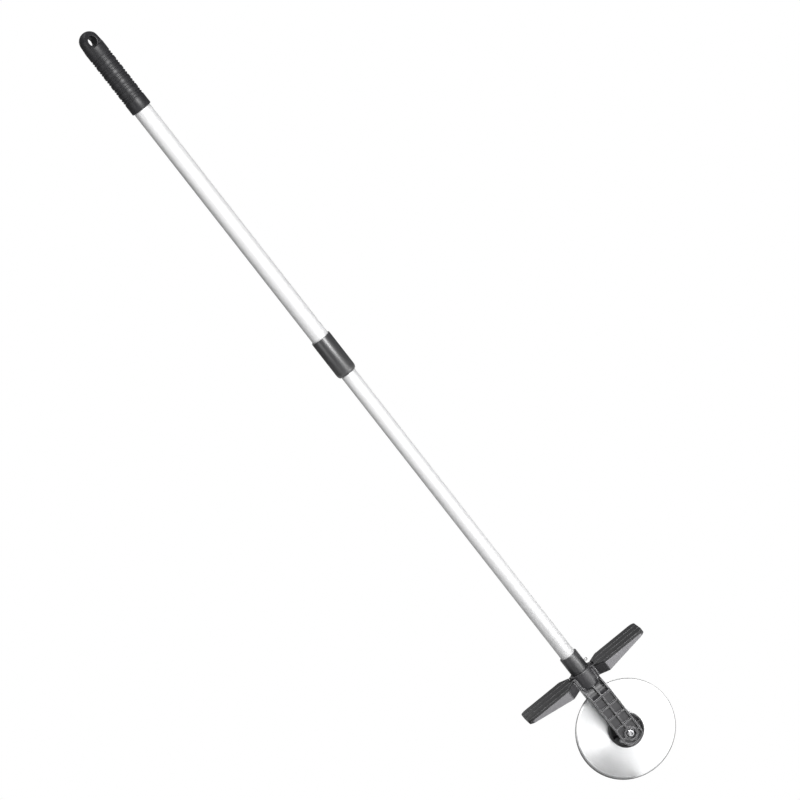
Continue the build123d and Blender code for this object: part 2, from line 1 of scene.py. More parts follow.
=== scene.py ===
# Looks of a telescopic rolling disc edge cutter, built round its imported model. Metres, +Z up the pole.
import json
import math

import bmesh
import bpy
from mathutils import Matrix, Vector


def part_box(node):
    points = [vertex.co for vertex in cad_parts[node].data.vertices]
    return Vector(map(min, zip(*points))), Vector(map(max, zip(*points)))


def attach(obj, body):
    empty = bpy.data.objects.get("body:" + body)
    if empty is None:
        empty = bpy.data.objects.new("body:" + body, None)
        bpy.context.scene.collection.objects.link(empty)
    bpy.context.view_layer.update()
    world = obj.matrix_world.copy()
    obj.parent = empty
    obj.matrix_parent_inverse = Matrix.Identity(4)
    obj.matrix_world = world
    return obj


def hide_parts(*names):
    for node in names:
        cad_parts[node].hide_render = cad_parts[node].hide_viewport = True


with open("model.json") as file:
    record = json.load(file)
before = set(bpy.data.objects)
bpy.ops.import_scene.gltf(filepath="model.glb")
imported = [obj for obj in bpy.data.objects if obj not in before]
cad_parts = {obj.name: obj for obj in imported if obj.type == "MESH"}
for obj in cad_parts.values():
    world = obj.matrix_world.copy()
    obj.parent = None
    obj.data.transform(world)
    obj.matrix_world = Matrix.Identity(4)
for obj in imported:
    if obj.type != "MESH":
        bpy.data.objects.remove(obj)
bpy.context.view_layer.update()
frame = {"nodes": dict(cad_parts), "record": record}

scene = bpy.context.scene
scene.view_settings.view_transform = "Standard"

# camera: it looks a little down, turned to the pole's left, and is rolled so that the pole leans
cameraValues = {
    "turn": 4.302,
    "tilt": 12.015,
    "roll": -37.878,
    "distance": 3.8672,
    "target": (0.0288, 0.0, 0.5519),
    "lens": 148.35,
}


def makeCamera(v):
    turn, tilt, roll = (math.radians(v[k]) for k in ("turn", "tilt", "roll"))
    forward = Vector((math.sin(turn) * math.cos(tilt), math.cos(turn) * math.cos(tilt), -math.sin(tilt)))
    level = Vector((math.cos(turn), -math.sin(turn), 0))
    upright = level.cross(forward)
    right = level * math.cos(roll) + upright * math.sin(roll)
    up = upright * math.cos(roll) - level * math.sin(roll)
    cam = bpy.data.objects.new("camera", bpy.data.cameras.new("camera"))
    scene.collection.objects.link(cam)
    cam.data.lens = v["lens"]
    cam.data.clip_start = 0.1
    cam.data.clip_end = 200
    cam.matrix_world = Matrix((right, up, -forward)).transposed().to_4x4()
    cam.location = Vector(v["target"]) - forward * v["distance"]
    scene.camera = cam


makeCamera(cameraValues)
print("camera ready")

# floor, sky, soft boxes and a dark card that only reflections see
studioValues = {
    "sky": 0.18,
    "backdrop": 1.0,
    "floorSize": 120.0,
    "floorHeight": -0.25,  # the tool hangs by its eye, with room for the second stage to run out
    "floorColour": (0.9, 0.9, 0.9, 1),
    "floorWhite": 1.0,
    "floorRough": 0.9,
    "floorShine": 0.1,
    "key": {"spot": (0.86, -2.45, 1.5), "aim": (0, 0, 0.55), "size": (0.6, 2.0), "power": 135.0},
    "fill": {"spot": (-2.0, -1.5, 1.2), "aim": (0, 0, 0.5), "size": (1.0, 1.8), "power": 14.0},
    "top": {"spot": (0.6, -0.4, 3.0), "aim": (0, 0, 0.1), "size": (1.6, 1.6), "power": 46.0},
    "low": {"spot": (0.76, -0.9, 0.0), "aim": (0, 0, 0.14), "size": (0.3, 0.3), "power": 3.2},
    "back": {"spot": (-0.8, 3.2, 1.5), "aim": (0, 0, 0.5), "size": (1.4, 1.8), "power": 16.0},
    "cardCentre": (-0.27, -0.32, 0.0005),
    "cardSize": (0.5, 0.62),
    "cardColour": (0.12, 0.12, 0.12, 1),
}


def softBox(name, v):
    lamp = bpy.data.lights.new(name, "AREA")
    lamp.shape = "RECTANGLE"
    lamp.size, lamp.size_y = v["size"]
    lamp.energy = v["power"]
    box = bpy.data.objects.new(name, lamp)
    scene.collection.objects.link(box)
    box.location = v["spot"]
    box.rotation_euler = (Vector(v["aim"]) - Vector(v["spot"])).to_track_quat("-Z", "Y").to_euler()
    box.visible_camera = False


def stagePlane(name, size, centre, material):
    bm = bmesh.new()
    bmesh.ops.create_grid(bm, x_segments=1, y_segments=1, size=0.5)
    bmesh.ops.scale(bm, vec=(size[0], size[1], 1), verts=bm.verts)
    bmesh.ops.translate(bm, vec=centre, verts=bm.verts)
    mesh = bpy.data.meshes.new(name)
    bm.to_mesh(mesh)
    bm.free()
    plane = bpy.data.objects.new(name, mesh)
    scene.collection.objects.link(plane)
    mesh.materials.append(material)
    return plane


def makeFloorPaint(v):
    # pale paint that the lens sees as even white, while the object still gets its true bounce
    paint = bpy.data.materials.new("paleFloor")
    paint.use_nodes = True
    tree = paint.node_tree
    shader = tree.nodes["Principled BSDF"]
    shader.inputs["Base Color"].default_value = v["floorColour"]
    shader.inputs["Roughness"].default_value = v["floorRough"]
    shader.inputs["Specular IOR Level"].default_value = v["floorShine"]
    glow = tree.nodes.new("ShaderNodeEmission")
    glow.inputs["Strength"].default_value = v["floorWhite"]
    path = tree.nodes.new("ShaderNodeLightPath")
    pick = tree.nodes.new("ShaderNodeMixShader")
    tree.links.new(path.outputs["Is Camera Ray"], pick.inputs[0])
    tree.links.new(shader.outputs[0], pick.inputs[1])
    tree.links.new(glow.outputs[0], pick.inputs[2])
    tree.links.new(pick.outputs[0], tree.nodes["Material Output"].inputs["Surface"])
    return paint


def makeStudio(v):
    world = bpy.data.worlds.new("studio")
    world.use_nodes = True
    tree = world.node_tree
    sky = tree.nodes["Background"]
    sky.inputs["Color"].default_value = (1, 1, 1, 1)
    sky.inputs["Strength"].default_value = v["sky"]
    seen = tree.nodes.new("ShaderNodeBackground")  # the same white as the floor, behind everything
    seen.inputs["Color"].default_value = (1, 1, 1, 1)
    seen.inputs["Strength"].default_value = v["backdrop"]
    path = tree.nodes.new("ShaderNodeLightPath")
    pick = tree.nodes.new("ShaderNodeMixShader")
    tree.links.new(path.outputs["Is Camera Ray"], pick.inputs[0])
    tree.links.new(sky.outputs[0], pick.inputs[1])
    tree.links.new(seen.outputs[0], pick.inputs[2])
    tree.links.new(pick.outputs[0], tree.nodes["World Output"].inputs["Surface"])
    scene.world = world
    for name in ("key", "fill", "top", "low", "back"):
        softBox(name + "Box", v[name])
    stagePlane("floor", (v["floorSize"], v["floorSize"]), (0, 0, v["floorHeight"]), makeFloorPaint(v))
    dark = bpy.data.materials.new("darkCard")
    dark.use_nodes = True
    dark.node_tree.nodes["Principled BSDF"].inputs["Base Color"].default_value = v["cardColour"]
    card = stagePlane("card", v["cardSize"], v["cardCentre"], dark)
    card.visible_camera = False


makeStudio(studioValues)
print("studio ready")


# small helpers for node work
def addNode(tree, kind, **settings):
    node = tree.nodes.new(kind)
    for key, value in settings.items():
        if hasattr(node, key) and key not in node.inputs:
            setattr(node, key, value)
        else:
            node.inputs[key].default_value = value
    return node


def startGroup(name, inputs, outputs):
    tree = bpy.data.node_groups.new(name, "ShaderNodeTree")
    for label, kind, value in inputs:
        socket = tree.interface.new_socket(label, in_out="INPUT", socket_type=kind)
        socket.default_value = value
    for label, kind in outputs:
        tree.interface.new_socket(label, in_out="OUTPUT", socket_type=kind)
    return tree, tree.nodes.new("NodeGroupInput"), tree.nodes.new("NodeGroupOutput")


def makeGrainGroup():
    # fine moulding texture with broad flow marks
    tree, start, end = startGroup(
        "mouldGrain",
        [("Fineness", "NodeSocketFloat", 2500.0), ("Spread", "NodeSocketFloat", 25.0)],
        [("Grain", "NodeSocketFloat"), ("Flow", "NodeSocketFloat")],
    )
    link = tree.links.new
    coord = addNode(tree, "ShaderNodeTexCoord")
    grain = addNode(tree, "ShaderNodeTexNoise", Detail=3.0, Roughness=0.6)
    flow = addNode(tree, "ShaderNodeTexNoise", Detail=4.0, Roughness=0.55)
    link(coord.outputs["Object"], grain.inputs["Vector"])
    link(coord.outputs["Object"], flow.inputs["Vector"])
    link(start.outputs["Fineness"], grain.inputs["Scale"])
    link(start.outputs["Spread"], flow.inputs["Scale"])
    link(grain.outputs["Fac"], end.inputs["Grain"])
    link(flow.outputs["Fac"], end.inputs["Flow"])
    return tree


def makeEdgeGroup():
    # mask of edges, from how far a rounded normal leans off the flat one; the edges it lightens are rub wear
    # on some finishes and painted edge highlights on others
    tree, start, end = startGroup(
        "edgeRubAndHighlight",
        [("Break", "NodeSocketFloat", 220.0), ("Amount", "NodeSocketFloat", 1.0)],
        [("Mask", "NodeSocketFloat")],
    )
    link = tree.links.new
    coord = addNode(tree, "ShaderNodeTexCoord")
    eased = addNode(tree, "ShaderNodeBevel", samples=6, Radius=0.0007)
    face = addNode(tree, "ShaderNodeNewGeometry")
    dot = addNode(tree, "ShaderNodeVectorMath", operation="DOT_PRODUCT")
    lean = addNode(tree, "ShaderNodeMapRange")
    lean.inputs["From Min"].default_value = 0.985
    lean.inputs["From Max"].default_value = 0.85
    broken = addNode(tree, "ShaderNodeTexNoise", Detail=5.0)
    patch = addNode(tree, "ShaderNodeMapRange")
    patch.inputs["From Min"].default_value = 0.34
    patch.inputs["From Max"].default_value = 0.5
    both = addNode(tree, "ShaderNodeMath", operation="MULTIPLY")
    scaled = addNode(tree, "ShaderNodeMath", operation="MULTIPLY")
    link(eased.outputs["Normal"], dot.inputs[0])
    link(face.outputs["Normal"], dot.inputs[1])
    link(dot.outputs["Value"], lean.inputs["Value"])
    link(coord.outputs["Object"], broken.inputs["Vector"])
    link(start.outputs["Break"], broken.inputs["Scale"])
    link(broken.outputs["Fac"], patch.inputs["Value"])
    link(lean.outputs["Result"], both.inputs[0])
    link(patch.outputs["Result"], both.inputs[1])
    link(both.outputs["Value"], scaled.inputs[0])
    link(start.outputs["Amount"], scaled.inputs[1])
    link(scaled.outputs["Value"], end.inputs["Mask"])
    return tree


def makeSmudgeGroup():
    # handling marks: soft patches with a few darker specks
    tree, start, end = startGroup(
        "handling",
        [
            ("Scale", "NodeSocketFloat", 12.0),
            ("Low", "NodeSocketFloat", 0.3),
            ("High", "NodeSocketFloat", 0.5),
        ],
        [("Roughness", "NodeSocketFloat"), ("Mask", "NodeSocketFloat")],
    )
    link = tree.links.new
    coord = addNode(tree, "ShaderNodeTexCoord")
    cloud = addNode(tree, "ShaderNodeTexNoise", Detail=6.0, Roughness=0.62, Distortion=0.4)
    spread = addNode(tree, "ShaderNodeMapRange")
    spread.inputs["From Min"].default_value = 0.3
    spread.inputs["From Max"].default_value = 0.7
    link(coord.outputs["Object"], cloud.inputs["Vector"])
    link(start.outputs["Scale"], cloud.inputs["Scale"])
    link(cloud.outputs["Fac"], spread.inputs["Value"])
    link(start.outputs["Low"], spread.inputs["To Min"])
    link(start.outputs["High"], spread.inputs["To Max"])
    link(spread.outputs["Result"], end.inputs["Roughness"])
    link(cloud.outputs["Fac"], end.inputs["Mask"])
    return tree


def makePanelGroup():
    # mask of the wings' long sides that face along Y, further out along X than Start; the lighter tone laid
    # there is painted light for the light these faces catch
    tree, start, end = startGroup(
        "paintedLightPanel", [("Start", "NodeSocketFloat", 0.0285)], [("Mask", "NodeSocketFloat")]
    )
    link = tree.links.new
    coord = addNode(tree, "ShaderNodeTexCoord")
    place = addNode(tree, "ShaderNodeSeparateXYZ")
    along = addNode(tree, "ShaderNodeMath", operation="ABSOLUTE")
    outside = addNode(tree, "ShaderNodeMath", operation="GREATER_THAN")
    facing = addNode(tree, "ShaderNodeSeparateXYZ")
    square = addNode(tree, "ShaderNodeMath", operation="ABSOLUTE")
    steep = addNode(tree, "ShaderNodeMapRange")
    steep.inputs["From Min"].default_value = 0.9
    steep.inputs["From Max"].default_value = 0.99
    both = addNode(tree, "ShaderNodeMath", operation="MULTIPLY")
    link(coord.outputs["Object"], place.inputs[0])
    link(place.outputs["X"], along.inputs[0])
    link(along.outputs["Value"], outside.inputs[0])
    link(start.outputs["Start"], outside.inputs[1])
    link(coord.outputs["Normal"], facing.inputs[0])
    link(facing.outputs["Y"], square.inputs[0])
    link(square.outputs["Value"], steep.inputs["Value"])
    link(outside.outputs["Value"], both.inputs[0])
    link(steep.outputs["Result"], both.inputs[1])
    link(both.outputs["Value"], end.inputs["Mask"])
    return tree


grainGroup = makeGrainGroup()
panelGroup = makePanelGroup()
edgeGroup = makeEdgeGroup()
smudgeGroup = makeSmudgeGroup()


def placeGroup(tree, group, **values):
    node = tree.nodes.new("ShaderNodeGroup")
    node.node_tree = group
    for key, value in values.items():
        node.inputs[key].default_value = value
    return node


def startMaterial(name, metallic=0.0, specular=0.5):
    material = bpy.data.materials.new(name)
    material.use_nodes = True
    shader = material.node_tree.nodes["Principled BSDF"]
    shader.inputs["Metallic"].default_value = metallic
    shader.inputs["Specular IOR Level"].default_value = specular
    return material, material.node_tree, shader


def mixColours(tree, mask, first, second):
    # first where mask is 0, second where it is 1; either may be a socket or a plain colour
    mix = tree.nodes.new("ShaderNodeMix")
    mix.data_type = "RGBA"
    tree.links.new(mask, mix.inputs[0])
    for slot, value in ((6, first), (7, second)):
        if isinstance(value, tuple):
            mix.inputs[slot].default_value = value
        else:
            tree.links.new(value, mix.inputs[slot])
    return mix.outputs[2]


def linkNormal(tree, v, height, shader):
    # fine relief, over edges that the shader eases where the mesh hasn't
    bump = addNode(tree, "ShaderNodeBump", Strength=v["bump"], Distance=v["bumpDepth"])
    tree.links.new(height, bump.inputs["Height"])
    if v["soften"]:
        bevel = addNode(tree, "ShaderNodeBevel", samples=8, Radius=v["soften"])
        tree.links.new(bevel.outputs["Normal"], bump.inputs["Normal"])
    tree.links.new(bump.outputs["Normal"], shader.inputs["Normal"])


def makePlastic(name, v):
    # textured moulding: base colour shifts with flow, edges lighter (rub wear, and on the head and treads a
    # painted edge highlight), grain in the height
    material, tree, shader = startMaterial(name, specular=v["specular"])
    link = tree.links.new
    grain = placeGroup(tree, grainGroup, Fineness=v["grainScale"], Spread=v["flowScale"])
    edge = placeGroup(tree, edgeGroup, Break=v["edgePatchScale"], Amount=v["edgeWearAndHighlightAmount"])
    smudge = placeGroup(tree, smudgeGroup, Scale=v["smudgeScale"], Low=v["rough"][0], High=v["rough"][1])
    body = mixColours(tree, grain.outputs["Flow"], v["dark"], v["light"])
    # the wings' Y-facing sides take a lighter tone: painted light, standing in for the key light they catch
    if "panelPaintedLight" in v:
        panel = placeGroup(tree, panelGroup, Start=v["panelStart"])
        body = mixColours(tree, panel.outputs["Mask"], body, v["panelPaintedLight"])
    link(mixColours(tree, edge.outputs["Mask"], body, v["edgeWearAndHighlight"]), shader.inputs["Base Color"])
    link(smudge.outputs["Roughness"], shader.inputs["Roughness"])
    linkNormal(tree, v, grain.outputs["Grain"], shader)
    return material


def makeMetal(name, v):
    # drawn or turned metal: hairlines along one direction, fine pits and soft handling marks
    material, tree, shader = startMaterial(name, metallic=v["metallic"])
    link = tree.links.new
    coord = addNode(tree, "ShaderNodeTexCoord")
    stretch = addNode(tree, "ShaderNodeMapping")
    stretch.inputs["Scale"].default_value = v["stretch"]
    hair = addNode(tree, "ShaderNodeTexNoise", Scale=v["hairScale"], Detail=5.0, Roughness=0.7)
    edge = placeGroup(tree, edgeGroup, Break=v["edgePatchScale"], Amount=v["edgeWearAndHighlightAmount"])
    smudge = placeGroup(tree, smudgeGroup, Scale=v["smudgeScale"], Low=v["rough"][0], High=v["rough"][1])
    link(coord.outputs["Object"], stretch.inputs["Vector"])
    link(stretch.outputs["Vector"], hair.inputs["Vector"])
    body = mixColours(tree, hair.outputs["Fac"], v["dark"], v["light"])
    link(mixColours(tree, edge.outputs["Mask"], body, v["edgeWearAndHighlight"]), shader.inputs["Base Color"])
    link(smudge.outputs["Roughness"], shader.inputs["Roughness"])
    linkNormal(tree, v, hair.outputs["Fac"], shader)
    return material


mouldedValues = {
    "dark": (0.008, 0.008, 0.009, 1),
    "light": (0.015, 0.015, 0.016, 1),
    "edgeWearAndHighlight": (0.08, 0.08, 0.083, 1),
    "specular": 0.6,
    "grainScale": 1900.0,
    "flowScale": 30.0,
    "edgeWearAndHighlightAmount": 0.55,
    "edgePatchScale": 260.0,
    "smudgeScale": 22.0,
    "rough": (0.36, 0.5),
    "bump": 0.05,
    "bumpDepth": 0.0001,
    "soften": 0.0005,
}
collarValues = dict(mouldedValues, specular=1.0, rough=(0.34, 0.4), soften=0.0)
gripValues = dict(
    mouldedValues,
    dark=(0.005, 0.005, 0.006, 1),
    light=(0.009, 0.009, 0.0105, 1),
    edgeWearAndHighlight=(0.02, 0.02, 0.021, 1),
    edgeWearAndHighlightAmount=0.05,
    soften=0.0,
    specular=0.4,
    rough=(0.4, 0.5),
    grainScale=2400.0,
    bump=0.03,
)
# head plastic: its edges are lightened strongly as painted edge highlights
headValues = dict(
    mouldedValues,
    dark=(0.018, 0.0176, 0.0192, 1),
    light=(0.029, 0.0285, 0.0307, 1),
    edgeWearAndHighlight=(0.38, 0.38, 0.386, 1),
    edgeWearAndHighlightAmount=1.0,
    specular=0.6,
    rough=(0.31, 0.4),
    panelStart=0.0285,
    panelPaintedLight=(0.11, 0.108, 0.114, 1),
)
# tread rubber: edges lightened as painted highlight lines along the lands, on top of rub wear
rubberValues = dict(
    mouldedValues,
    dark=(0.011, 0.011, 0.0116, 1),
    light=(0.019, 0.019, 0.02, 1),
    edgeWearAndHighlight=(0.2, 0.2, 0.204, 1),
    edgeWearAndHighlightAmount=1.0,
    specular=0.3,
    rough=(0.5, 0.66),
    grainScale=1400.0,
    bump=0.12,
)
nylonValues = dict(
    mouldedValues,
    dark=(0.66, 0.65, 0.6, 1),
    light=(0.76, 0.75, 0.71, 1),
    edgeWearAndHighlight=(0.86, 0.86, 0.84, 1),
    edgeWearAndHighlightAmount=0.3,
    rough=(0.4, 0.55),
)
acetalValues = dict(nylonValues, dark=(0.72, 0.7, 0.64, 1), light=(0.8, 0.79, 0.75, 1), rough=(0.3, 0.42))
tubeValues = {
    "metallic": 0.5,
    "dark": (0.5, 0.5, 0.503, 1),
    "light": (0.535, 0.535, 0.538, 1),
    "edgeWearAndHighlight": (0.68, 0.68, 0.68, 1),
    "stretch": (1.0, 1.0, 0.004),
    "hairScale": 1500.0,
    "edgeWearAndHighlightAmount": 0.2,
    "edgePatchScale": 300.0,
    "smudgeScale": 7.0,
    "rough": (0.52, 0.58),
    "bump": 0.004,
    "bumpDepth": 0.00004,
    "soften": 0.0,
}
steelValues = dict(
    tubeValues,
    metallic=1.0,
    dark=(0.6, 0.61, 0.62, 1),
    light=(0.76, 0.77, 0.78, 1),
    edgeWearAndHighlight=(0.9, 0.9, 0.9, 1),
    stretch=(1.0, 1.0, 1.0),
    hairScale=900.0,
    rough=(0.2, 0.34),
    bump=0.03,
    soften=0.0002,
)
screwValues = dict(
    steelValues,
    dark=(0.3, 0.3, 0.305, 1),
    light=(0.42, 0.42, 0.43, 1),
    rough=(0.26, 0.36),
)
wireValues = dict(steelValues, dark=(0.2, 0.2, 0.2, 1), light=(0.3, 0.3, 0.3, 1), rough=(0.35, 0.5))


def makeDiscSteel(v):
    # ground disc: rings round the axle, broken up by angle, with a darker line at the rim
    material, tree, shader = startMaterial("groundSteel", metallic=1.0)
    link = tree.links.new
    coord = addNode(tree, "ShaderNodeTexCoord")
    centred = addNode(tree, "ShaderNodeVectorMath", operation="SUBTRACT")
    centred.inputs[1].default_value = v["centre"]
    flat = addNode(tree, "ShaderNodeVectorMath", operation="MULTIPLY")
    flat.inputs[1].default_value = (1, 0, 1)
    radius = addNode(tree, "ShaderNodeVectorMath", operation="LENGTH")
    rings = addNode(tree, "ShaderNodeTexNoise", noise_dimensions="2D", Scale=v["ringScale"])
    rings.inputs["Detail"].default_value = 6.0
    rings.inputs["Roughness"].default_value = 0.8
    split = addNode(tree, "ShaderNodeSeparateXYZ")
    angle = addNode(tree, "ShaderNodeMath", operation="ARCTAN2")
    mirrored = addNode(tree, "ShaderNodeMath", operation="ABSOLUTE")  # no seam where the angle wraps
    slow = addNode(tree, "ShaderNodeMath", operation="MULTIPLY")
    slow.inputs[1].default_value = v["sweep"]
    pair = addNode(tree, "ShaderNodeCombineXYZ")
    link(coord.outputs["Object"], centred.inputs[0])
    link(centred.outputs["Vector"], flat.inputs[0])
    link(flat.outputs["Vector"], radius.inputs[0])
    link(flat.outputs["Vector"], split.inputs[0])
    link(split.outputs["X"], angle.inputs[0])
    link(split.outputs["Z"], angle.inputs[1])
    link(angle.outputs["Value"], mirrored.inputs[0])
    link(mirrored.outputs["Value"], slow.inputs[0])
    link(radius.outputs["Value"], pair.inputs["X"])
    link(slow.outputs["Value"], pair.inputs["Y"])
    link(pair.outputs["Vector"], rings.inputs["Vector"])
    ground = addNode(tree, "ShaderNodeMapRange")
    ground.inputs["From Min"].default_value = v["radius"] - v["rimWidth"]
    ground.inputs["From Max"].default_value = v["radius"] - v["rimWidth"] + v["rimFade"]
    link(radius.outputs["Value"], ground.inputs["Value"])
    body = mixColours(tree, rings.outputs["Fac"], v["dark"], v["light"])
    link(mixColours(tree, ground.outputs["Result"], body, v["rimColour"]), shader.inputs["Base Color"])
    smudge = placeGroup(tree, smudgeGroup, Scale=v["smudgeScale"], Low=v["rough"][0], High=v["rough"][1])
    link(smudge.outputs["Roughness"], shader.inputs["Roughness"])
    bump = addNode(tree, "ShaderNodeBump", Strength=v["bump"], Distance=v["bumpDepth"])
    link(rings.outputs["Fac"], bump.inputs["Height"])
    link(bump.outputs["Normal"], shader.inputs["Normal"])
    shader.inputs["Anisotropic"].default_value = v["anisotropic"]
    tangent = addNode(tree, "ShaderNodeTangent", direction_type="RADIAL", axis="Y")
    link(tangent.outputs["Tangent"], shader.inputs["Tangent"])
    return material


bladeLow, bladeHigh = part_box("blade")
axle = (bladeLow + bladeHigh) / 2  # middle of the axle, on the disc's mid plane
discValues = {
    "centre": tuple(axle),
    "ringScale": 900.0,
    "sweep": 0.0006,
    "radius": (bladeHigh.z - bladeLow.z) / 2,
    "rimWidth": 0.0015,
    "rimFade": 0.0003,
    "dark": (0.69, 0.695, 0.7, 1),
    "light": (0.82, 0.825, 0.83, 1),
    "rimColour": (0.24, 0.24, 0.24, 1),
    "rough": (0.34, 0.4),
    "smudgeScale": 14.0,
    "bump": 0.03,
    "bumpDepth": 0.00005,
    "anisotropic": 0.6,
}

finishes = {
    "moulded_black": makePlastic("mouldedBlack", mouldedValues),
    "grip_plastic": makePlastic("gripPlastic", gripValues),
    "collar": makePlastic("collarPlastic", collarValues),
    "head": makePlastic("headPlastic", headValues),
    "tread_rubber": makePlastic("treadRubber", rubberValues),
    "lock_plastic": makePlastic("nylon", nylonValues),
    "bush_plastic": makePlastic("acetal", acetalValues),
    "tube_silver": makeMetal("satinTube", tubeValues),
    "fastener_steel": makeMetal("zincSteel", steelValues),
    "screw": makeMetal("screwSteel", screwValues),
    "wire": makeMetal("darkWire", wireValues),
    "disc_steel": makeDiscSteel(discValues),
}
slotOf = {row["node"]: row["material_slot"] for row in frame["record"]["subparts"]}
for nodeName, cadObject in frame["nodes"].items():
    finish = finishes["head"] if nodeName == "fork_head" else finishes[slotOf[nodeName]]
    cadObject.data.materials.clear()
    cadObject.data.materials.append(finish)
print("finishes ready")


# helpers for mesh work
mergeDistance = 1e-6
cornerTurn = 0.35  # radians from which an outline's corner is rounded
sharpTurn = 0.6  # radians from which an edge counts as sharp


def turnShape(outline, steps, rounding=0.0, sides=3):
    # half section of (radius, height) pairs, its corners rounded, spun once round Z into a closed skin
    bm = bmesh.new()
    loop = [bm.verts.new((radius, 0, height)) for radius, height in outline]
    for first, second in zip(loop, loop[1:] + loop[:1]):
        if first.co.x + second.co.x > mergeDistance:
            bm.edges.new((first, second))
    if rounding:
        corners = [v for v in bm.verts if v.co.x > mergeDistance and cornerAngle(v) > cornerTurn]
        bmesh.ops.bevel(
            bm, geom=corners, offset=rounding, offset_type="OFFSET", segments=sides, profile=0.5,
            affect="VERTICES", clamp_overlap=True, material=-1,
        )
    bmesh.ops.spin(
        bm, geom=bm.verts[:] + bm.edges[:], cent=(0, 0, 0), axis=(0, 0, 1), dvec=(0, 0, 0),
        angle=2 * math.pi, steps=steps, use_merge=True, use_duplicate=False,
    )
    bmesh.ops.remove_doubles(bm, verts=bm.verts, dist=mergeDistance)
    bmesh.ops.recalc_face_normals(bm, faces=bm.faces)
    return bm


def cornerAngle(vert):
    # how far an outline turns at one of its points
    if len(vert.link_edges) != 2:
        return 0.0
    first, second = (edge.other_vert(vert).co - vert.co for edge in vert.link_edges)
    return math.pi - first.angle(second)


def faceForward(bm, centre):
    # stands a turned shape's height along the axle, with its top towards the front
    bmesh.ops.rotate(bm, cent=(0, 0, 0), matrix=Matrix.Rotation(math.pi / 2, 3, "X"), verts=bm.verts)
    bmesh.ops.translate(bm, vec=centre, verts=bm.verts)


def roundEdges(bm, size, sides, angle=sharpTurn):
    sharp = [edge for edge in bm.edges if edge.is_manifold and edge.calc_face_angle(0) > angle]
    bmesh.ops.bevel(
        bm, geom=sharp, offset=size, offset_type="OFFSET", segments=sides, profile=0.5,
        affect="EDGES", clamp_overlap=True, material=-1,
    )


def makePiece(name, bm, node, finish, smooth=sharpTurn):
    # one finished piece in place of a CAD node, on that node's body, in the finish it is given
    mesh = bpy.data.meshes.new(name)
    bm.to_mesh(mesh)
    bm.free()
    mesh.shade_smooth()
    mesh.set_sharp_from_angle(angle=smooth)
    mesh.materials.append(finish)
    piece = bpy.data.objects.new(name, mesh)
    scene.collection.objects.link(piece)
    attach(piece, bodyOf[node])
    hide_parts(node)


def carve(bm, cutters):
    # takes each cutter's volume out of a shape
    body = bpy.data.objects.new("body", bpy.data.meshes.new("body"))
    bm.to_mesh(body.data)
    bm.free()
    scene.collection.objects.link(body)
    spare = [body]
    for cutter in cutters:
        tool = bpy.data.objects.new("tool", bpy.data.meshes.new("tool"))
        cutter.to_mesh(tool.data)
        cutter.free()
        scene.collection.objects.link(tool)
        spare.append(tool)
        cut = body.modifiers.new("cut", "BOOLEAN")
        cut.operation = "DIFFERENCE"
        cut.solver = "EXACT"
        cut.object = tool
    graph = bpy.context.evaluated_depsgraph_get()
    carved = bmesh.new()
    carved.from_mesh(body.evaluated_get(graph).to_mesh())
    for item in spare:
        bpy.data.objects.remove(item)
    return carved


def addShape(bm, extra):
    # brings a second shape into the first
    spare = bpy.data.meshes.new("spare")
    extra.to_mesh(spare)
    extra.free()
    bm.from_mesh(spare)
    bpy.data.meshes.remove(spare)


def reach(node):
    # radius and lowest and highest points of an upright round node
    low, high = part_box(node)
    return (high.x - low.x) / 2, low.z, high.z


def depthOf(node):
    # radius, back and front of a round node on the axle; front counts positive
    low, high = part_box(node)
    return (high.z - low.z) / 2, -high.y, -low.y


bodyOf = {node: body for body, nodes in frame["record"]["behaviour"]["bodies"].items() for node in nodes}
tubeRadius, tubeBottom, tubeTop = reach("upper_tube")
middleRadius, middleBottom = reach("middle_tube")[:2]
lowerRadius = reach("lower_tube")[0]

# grip: wide rings between groups of thin grooves, a domed tab and a hanging hole
gripShape = {
    "grooveStart": 0.0152,
    "groovePitch": 0.0034,
    "groovePeriod": 0.0134,
    "grooveGroups": 5,
    "grooveLines": 3,
    "grooveWidth": 0.0016,
    "grooveDepth": 0.0008,
    "landRounding": 0.0007,
    "domeSteps": 12,
    "shoulderDrop": 0.020,
    "tabThickness": 0.012,
    "tabStep": 0.0006,
    "holeRadius": 0.0062,
    "holeDrop": 0.0132,
    "holeTurn": 36.0,
    "holeMouth": 0.001,
    "mouthSteps": 4,
    "holeSteps": 48,
    "slabSize": 0.06,
    "slabThickness": 0.02,
    "slabRounding": 0.003,
    "steps": 96,
}


def holeCutter(v, half):
    # a bar with flared ends, so that the hole's rims come out rounded
    mouth = v["holeRadius"] + v["holeMouth"]
    outline = [(0, -half * 2), (mouth, -half * 2)]
    for side in (-1, 1):
        for turn in range(v["mouthSteps"] + 1):
            share = turn / v["mouthSteps"]
            lean = math.pi / 2 * (share if side > 0 else 1 - share)
            reachOut = v["holeRadius"] + v["holeMouth"] * (1 - math.cos(lean))
            outline.append((reachOut, side * (half - v["holeMouth"] * (1 - math.sin(lean)))))
    outline += [(mouth, half * 2), (0, half * 2)]
    return turnShape(outline, v["holeSteps"])


